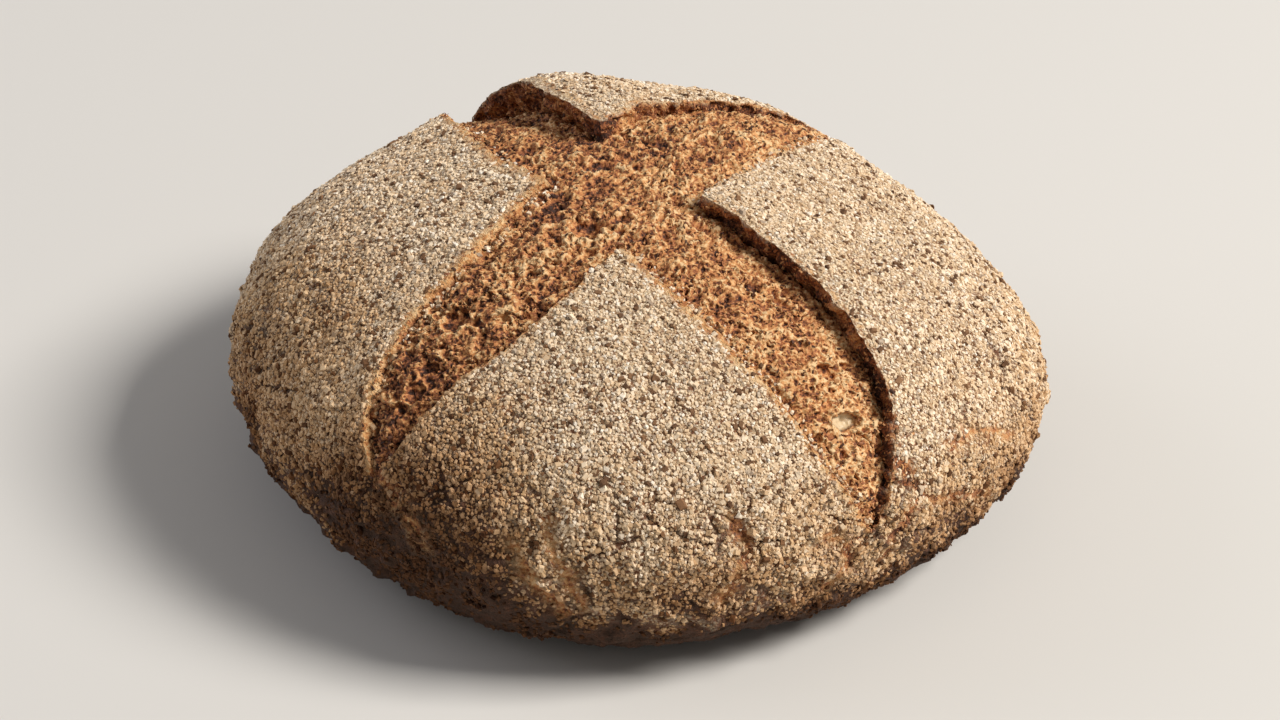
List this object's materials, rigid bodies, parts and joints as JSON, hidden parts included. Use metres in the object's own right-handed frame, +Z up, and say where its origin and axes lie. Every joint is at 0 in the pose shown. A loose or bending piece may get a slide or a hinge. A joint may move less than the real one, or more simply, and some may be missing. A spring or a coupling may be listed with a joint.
{
  "type": "sourdough loaf",
  "caption": "Round crusty sourdough loaf, scored with a cross that has burst open in craggy crumb, coated with coarse meal, on a flat base.",
  "frame": {"origin": "middle of the flat base, on the surface that the loaf stands on", "axes": "+Z up through the crown; -Y towards the front quarter of crust, the one nearest the viewer; +X to the right"},
  "size_m": [0.26, 0.2444, 0.1026],
  "materials": {
    "crust": "matt baked crust with a coat of coarse meal"
  },
  "bodies": {
    "root": {"loaf": "crust"}
  },
  "joints": []
}
